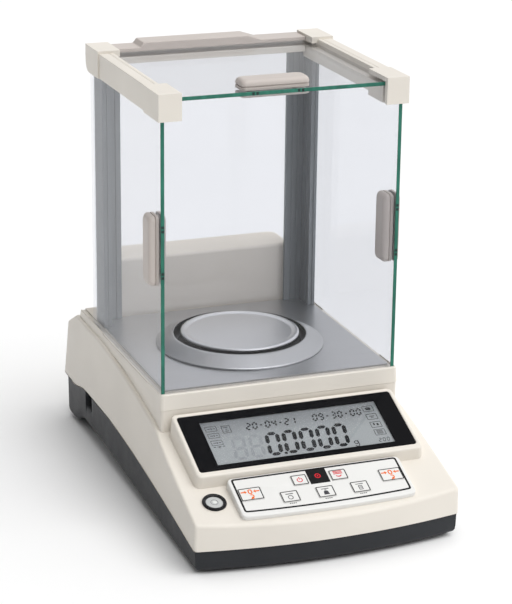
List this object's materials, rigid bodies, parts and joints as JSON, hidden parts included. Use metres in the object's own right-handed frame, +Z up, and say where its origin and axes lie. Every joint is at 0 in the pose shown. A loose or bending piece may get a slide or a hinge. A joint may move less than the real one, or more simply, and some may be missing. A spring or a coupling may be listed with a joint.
{
  "type": "analytical balance",
  "caption": "Analytical balance with a sloped display and key panel, a round steel pan and a glass draft shield with sliding side and top doors.",
  "frame": {"origin": "centre of the footprint, on the desk that the feet rest on", "axes": "+Z up, -Y toward the user, +X to the user's right"},
  "size_m": [0.214, 0.365, 0.3429],
  "materials": {
    "housing_cream": "satin cream moulded plastic",
    "handle_cream": "satin pinkish cream plastic",
    "tray_black": "fine-grained dark grey plastic",
    "window_black": "glossy black-bordered window",
    "lcd_grey": "grey liquid-crystal glass",
    "keypad_white": "satin off-white overlay",
    "glass_clear": "clear polished glass with green edges",
    "aluminium_grey": "grey anodised extrusion",
    "stainless": "brushed stainless steel",
    "steel": "plain machined steel",
    "rubber_black": "black rubber",
    "board_green": "green circuit board",
    "level_glass": "clear level vial over a grey disc"
  },
  "bodies": {
    "balance": {"upper_housing": "housing_cream", "rear_housing": "housing_cream", "display_bezel": "housing_cream", "left_corner_block": "housing_cream", "right_corner_block": "housing_cream", "left_top_rail": "housing_cream", "right_top_rail": "housing_cream", "left_rear_cap": "housing_cream", "right_rear_cap": "housing_cream", "rear_crossbar": "housing_cream", "rear_cover_strip": "housing_cream", "base_tray": "tray_black", "level_ring": "tray_black", "power_socket": "tray_black", "display_window": "window_black", "lcd_panel": "lcd_grey", "keypad_panel": "keypad_white", "front_pane": "glass_clear", "rear_pane": "glass_clear", "column_left": "aluminium_grey", "column_right": "aluminium_grey", "load_cell": "aluminium_grey", "floor_plate": "stainless", "serial_port": "steel", "front_foot_left": "rubber_black", "front_foot_right": "rubber_black", "display_board": "board_green", "main_board": "board_green", "level_vial": "level_glass"},
    "left_door": {"left_door": "glass_clear", "left_door_handle_grip": "handle_cream", "left_door_handle_plate": "handle_cream", "left_door_handle_screw_a": "steel", "left_door_handle_screw_b": "steel"},
    "right_door": {"right_door": "glass_clear", "right_door_handle_grip": "handle_cream", "right_door_handle_plate": "handle_cream", "right_door_handle_screw_a": "steel", "right_door_handle_screw_b": "steel"},
    "top_door": {"top_door": "glass_clear", "top_door_handle_grip": "handle_cream", "top_door_handle_plate": "handle_cream", "top_door_handle_screw_a": "steel", "top_door_handle_screw_b": "steel"},
    "tare_key_left": {"tare_key_left": "keypad_white"},
    "tare_key_right": {"tare_key_right": "keypad_white"},
    "power_key": {"power_key": "keypad_white"},
    "menu_key": {"menu_key": "keypad_white"},
    "units_key": {"units_key": "keypad_white"},
    "calibrate_key": {"calibrate_key": "keypad_white"},
    "print_key": {"print_key": "keypad_white"},
    "pan_support": {"pan_support": "steel"},
    "weighing_pan": {"weighing_pan": "stainless"},
    "draft_ring": {"draft_ring": "stainless"},
    "foot_pad_left": {"foot_pad_left": "rubber_black"},
    "foot_pad_right": {"foot_pad_right": "rubber_black"},
    "levelling_wheel_left": {"levelling_wheel_left": "tray_black"},
    "levelling_wheel_right": {"levelling_wheel_right": "tray_black"}
  },
  "joints": [
    {"name": "left_door_slide", "type": "slide", "parent": "balance", "child": "left_door", "axis": [0, 1, 0], "range_m": [0, 0.11]},
    {"name": "right_door_slide", "type": "slide", "parent": "balance", "child": "right_door", "axis": [0, 1, 0], "range_m": [0, 0.11]},
    {"name": "top_door_slide", "type": "slide", "parent": "balance", "child": "top_door", "axis": [0, 1, 0], "range_m": [0, 0.13]},
    {"name": "tare_key_left_press", "type": "slide", "parent": "balance", "child": "tare_key_left", "axis": [0, 0.3794, -0.9253], "range_m": [0, 0.0006], "stiffness_N_per_m": 1200, "springref_m": -0.0004},
    {"name": "tare_key_right_press", "type": "slide", "parent": "balance", "child": "tare_key_right", "axis": [0, 0.3794, -0.9253], "range_m": [0, 0.0006], "stiffness_N_per_m": 1200, "springref_m": -0.0004},
    {"name": "power_key_press", "type": "slide", "parent": "balance", "child": "power_key", "axis": [0, 0.3794, -0.9253], "range_m": [0, 0.0006], "stiffness_N_per_m": 1200, "springref_m": -0.0004},
    {"name": "menu_key_press", "type": "slide", "parent": "balance", "child": "menu_key", "axis": [0, 0.3794, -0.9253], "range_m": [0, 0.0006], "stiffness_N_per_m": 1200, "springref_m": -0.0004},
    {"name": "units_key_press", "type": "slide", "parent": "balance", "child": "units_key", "axis": [0, 0.3794, -0.9253], "range_m": [0, 0.0006], "stiffness_N_per_m": 1200, "springref_m": -0.0004},
    {"name": "calibrate_key_press", "type": "slide", "parent": "balance", "child": "calibrate_key", "axis": [0, 0.3794, -0.9253], "range_m": [0, 0.0006], "stiffness_N_per_m": 1200, "springref_m": -0.0004},
    {"name": "print_key_press", "type": "slide", "parent": "balance", "child": "print_key", "axis": [0, 0.3794, -0.9253], "range_m": [0, 0.0006], "stiffness_N_per_m": 1200, "springref_m": -0.0004},
    {"name": "pan_load", "type": "slide", "parent": "balance", "child": "pan_support", "axis": [0, 0, 1], "range_m": [-0.0005, 0], "stiffness_N_per_m": 20000, "springref_m": 0.0002},
    {"name": "pan_lift", "type": "slide", "parent": "pan_support", "child": "weighing_pan", "axis": [0, 0, 1], "range_m": [0, 0.03]},
    {"name": "ring_lift", "type": "slide", "parent": "balance", "child": "draft_ring", "axis": [0, 0, 1], "range_m": [0, 0.02]},
    {"name": "foot_slide_left", "type": "slide", "parent": "balance", "child": "foot_pad_left", "axis": [0, 0, -1], "range_m": [0, 0.0022]},
    {"name": "wheel_turn_left", "type": "hinge", "parent": "foot_pad_left", "child": "levelling_wheel_left", "pos_m": [-0.08, 0.1045, 0.0335], "axis": [0, 0, -1], "range_deg": [0, 633.6]},
    {"name": "foot_slide_right", "type": "slide", "parent": "balance", "child": "foot_pad_right", "axis": [0, 0, -1], "range_m": [0, 0.0022]},
    {"name": "wheel_turn_right", "type": "hinge", "parent": "foot_pad_right", "child": "levelling_wheel_right", "pos_m": [0.08, 0.1045, 0.0335], "axis": [0, 0, -1], "range_deg": [0, 633.6]}
  ],
  "couplings": [
    {"joint": "wheel_turn_left", "follows": "foot_slide_left", "rad_per_m": 5026.5},
    {"joint": "wheel_turn_right", "follows": "foot_slide_right", "rad_per_m": 5026.5}
  ]
}
